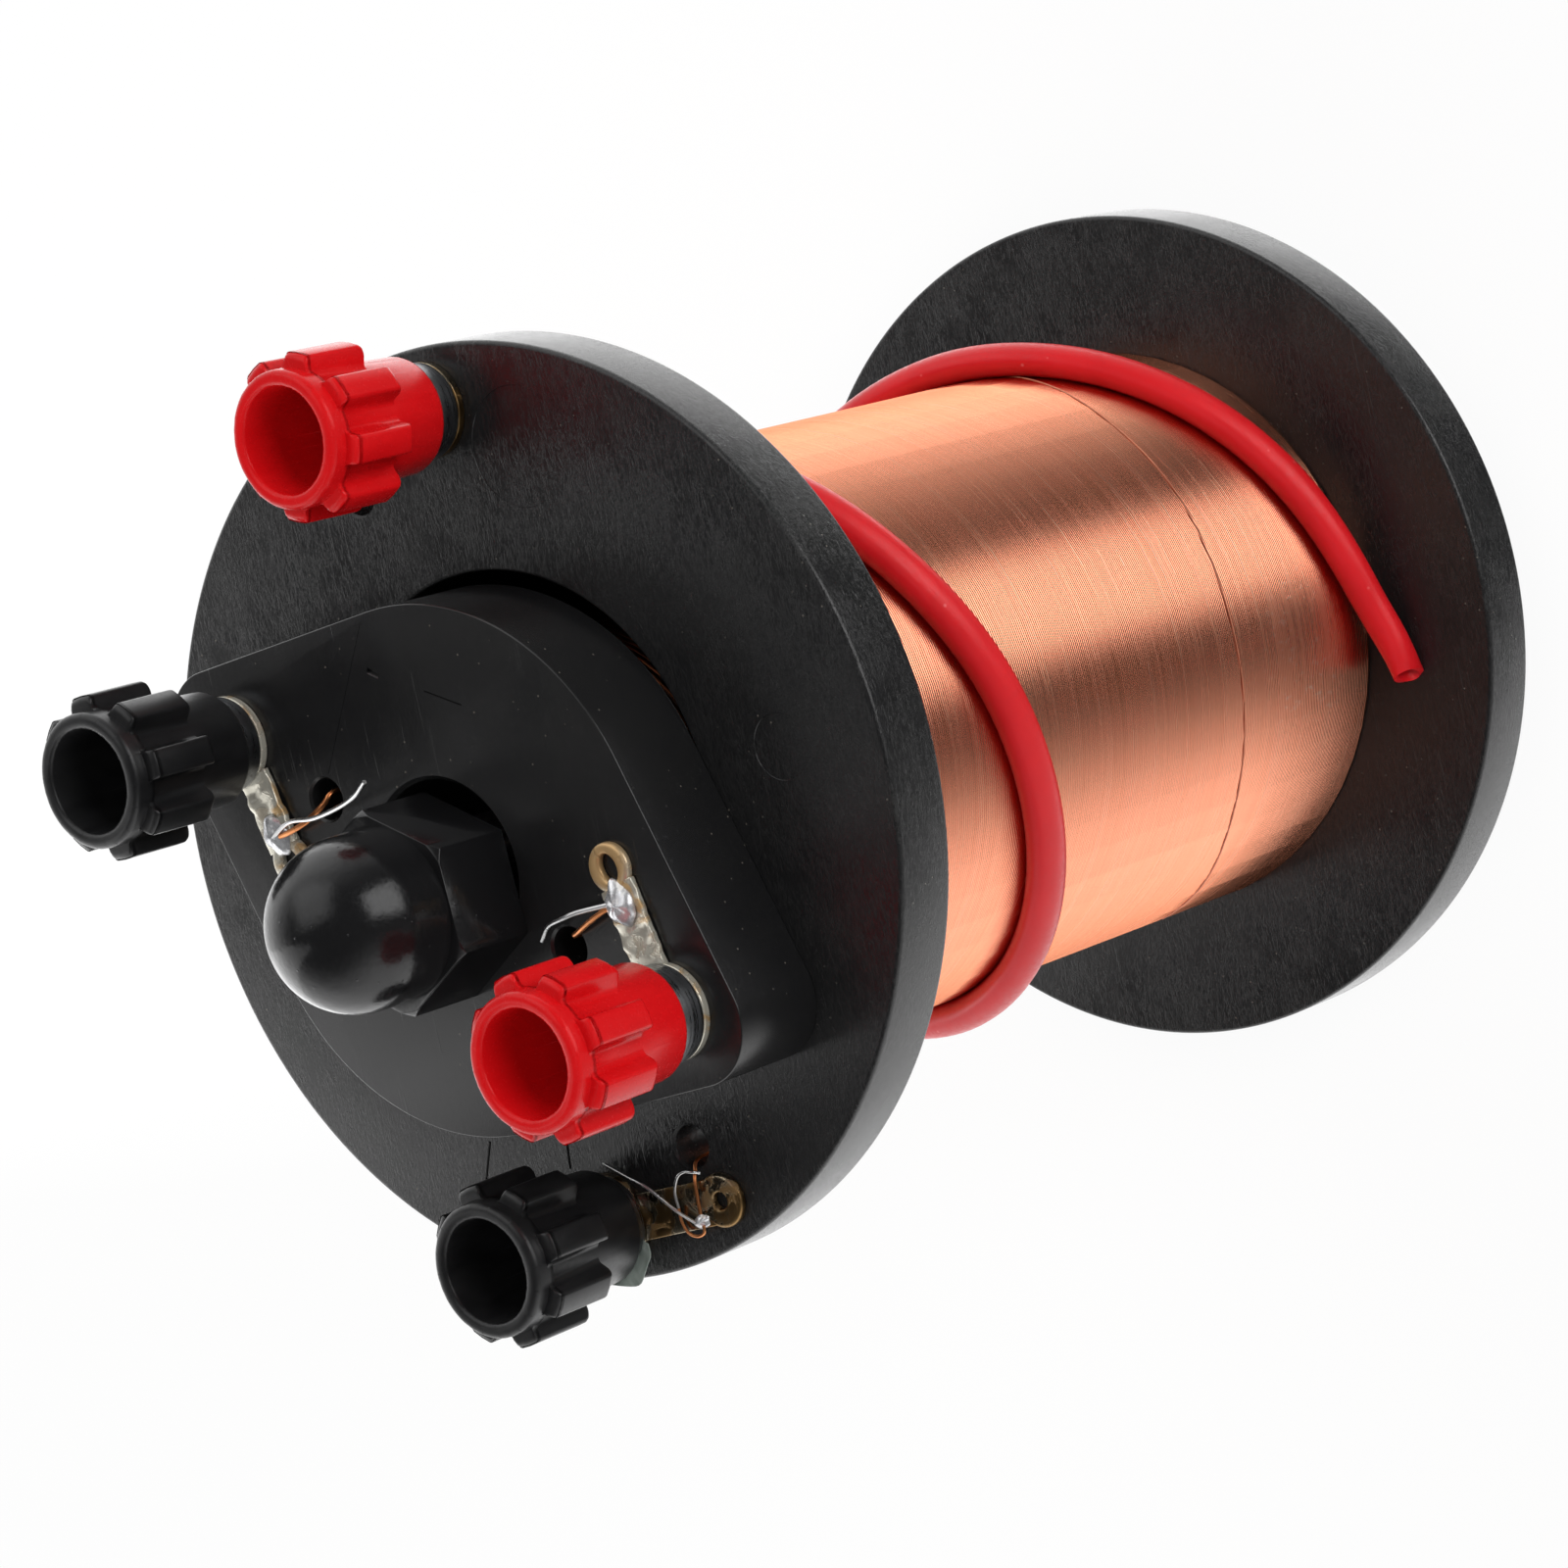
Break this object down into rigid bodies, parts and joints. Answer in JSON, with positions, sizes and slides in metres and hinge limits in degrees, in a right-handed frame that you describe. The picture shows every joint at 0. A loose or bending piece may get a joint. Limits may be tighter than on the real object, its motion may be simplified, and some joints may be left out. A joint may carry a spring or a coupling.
{
  "type": "induction coil set",
  "caption": "Classroom induction coil: flanged copper secondary with a lift-out primary and iron core, ribbed screw binding posts and a red sleeve round the winding.",
  "frame": {"origin": "centre of the rear flange's underside, on the coil axis", "axes": "+Z along the coil axis towards the terminals; X through the secondary's posts, the red one at +X"},
  "size_m": [0.0794, 0.076, 0.1168],
  "materials": {
    "black_plastic": "satin",
    "fine_copper": "satin",
    "bare_copper": "satin",
    "red_sleeve": "satin",
    "red_cap": "gloss",
    "black_cap": "gloss",
    "plated_steel": "satin",
    "tinned_brass": "satin",
    "solder": "gloss",
    "brass": "satin",
    "iron": "satin",
    "knob": "gloss"
  },
  "bodies": {
    "secondary": {"rear_flange": "black_plastic", "front_flange": "black_plastic", "secondary_former": "black_plastic", "secondary_winding": "fine_copper", "outer_turns": "fine_copper", "red_sleeve": "red_sleeve", "secondary_red_stud": "plated_steel", "secondary_red_nut": "plated_steel", "secondary_red_tag": "tinned_brass", "secondary_red_solder": "solder", "secondary_red_lead": "bare_copper", "secondary_black_stud": "plated_steel", "secondary_black_nut": "plated_steel", "secondary_black_tag": "tinned_brass", "secondary_black_solder": "solder", "secondary_black_lead": "bare_copper"},
    "primary_coil": {"primary_winding": "bare_copper"},
    "primary_head": {"primary_head": "black_plastic", "primary_former": "black_plastic", "primary_end_collar": "black_plastic", "primary_red_stud": "plated_steel", "primary_red_nut": "plated_steel", "primary_red_tag": "tinned_brass", "primary_red_solder": "solder", "primary_red_lead": "bare_copper", "primary_black_stud": "plated_steel", "primary_black_nut": "plated_steel", "primary_black_tag": "tinned_brass", "primary_black_solder": "solder", "primary_black_lead": "bare_copper"},
    "core_rod": {"core_rod": "iron"},
    "core_knob": {"core_knob": "knob"},
    "secondary_red_bush": {"secondary_red_bush": "brass"},
    "secondary_red_cap": {"secondary_red_cap": "red_cap"},
    "secondary_black_bush": {"secondary_black_bush": "brass"},
    "secondary_black_cap": {"secondary_black_cap": "black_cap"},
    "primary_red_bush": {"primary_red_bush": "brass"},
    "primary_red_cap": {"primary_red_cap": "red_cap"},
    "primary_black_bush": {"primary_black_bush": "brass"},
    "primary_black_cap": {"primary_black_cap": "black_cap"}
  },
  "joints": [
    {"name": "primary_slide", "type": "slide", "parent": "secondary", "child": "primary_coil", "axis": [0, 0, 1], "range_m": [0, 0.09]},
    {"name": "primary_turn", "type": "hinge", "parent": "primary_coil", "child": "primary_head", "pos_m": [-0.00248, 0.00076, 0.09], "axis": [0, 0, 1], "range_deg": [-15, 95]},
    {"name": "core_slide", "type": "slide", "parent": "primary_head", "child": "core_rod", "axis": [0, 0, 1], "range_m": [0, 0.1]},
    {"name": "core_turn", "type": "hinge", "parent": "core_rod", "child": "core_knob", "pos_m": [-0.00418, 0.00076, 0.099], "axis": [0, 0, 1], "continuous": true},
    {"name": "secondary_red_cap_lift", "type": "slide", "parent": "secondary", "child": "secondary_red_bush", "axis": [0, 0, 1], "range_m": [-0.00105, 0.00175]},
    {"name": "secondary_red_cap_turn", "type": "hinge", "parent": "secondary_red_bush", "child": "secondary_red_cap", "pos_m": [0.033, 0, 0.09], "axis": [0, 0, 1], "range_deg": [-378, 630]},
    {"name": "secondary_black_cap_lift", "type": "slide", "parent": "secondary", "child": "secondary_black_bush", "axis": [0, 0, 1], "range_m": [0, 0.0028]},
    {"name": "secondary_black_cap_turn", "type": "hinge", "parent": "secondary_black_bush", "child": "secondary_black_cap", "pos_m": [-0.033, 0, 0.09], "axis": [0, 0, 1], "range_deg": [0, 1008]},
    {"name": "primary_red_cap_lift", "type": "slide", "parent": "primary_head", "child": "primary_red_bush", "axis": [0, 0, 1], "range_m": [-0.00145, 0.00135]},
    {"name": "primary_red_cap_turn", "type": "hinge", "parent": "primary_red_bush", "child": "primary_red_cap", "pos_m": [-0.01548, -0.01941, 0.099], "axis": [0, 0, 1], "range_deg": [-522, 486]},
    {"name": "primary_black_cap_lift", "type": "slide", "parent": "primary_head", "child": "primary_black_bush", "axis": [0, 0, 1], "range_m": [-0.0006, 0.0022]},
    {"name": "primary_black_cap_turn", "type": "hinge", "parent": "primary_black_bush", "child": "primary_black_cap", "pos_m": [0.01052, 0.02093, 0.099], "axis": [0, 0, 1], "range_deg": [-216, 792]}
  ],
  "couplings": [
    {"joint": "secondary_red_cap_turn", "follows": "secondary_red_cap_lift", "rad_per_m": 6283.2},
    {"joint": "secondary_black_cap_turn", "follows": "secondary_black_cap_lift", "rad_per_m": 6283.2},
    {"joint": "primary_red_cap_turn", "follows": "primary_red_cap_lift", "rad_per_m": 6283.2},
    {"joint": "primary_black_cap_turn", "follows": "primary_black_cap_lift", "rad_per_m": 6283.2}
  ]
}
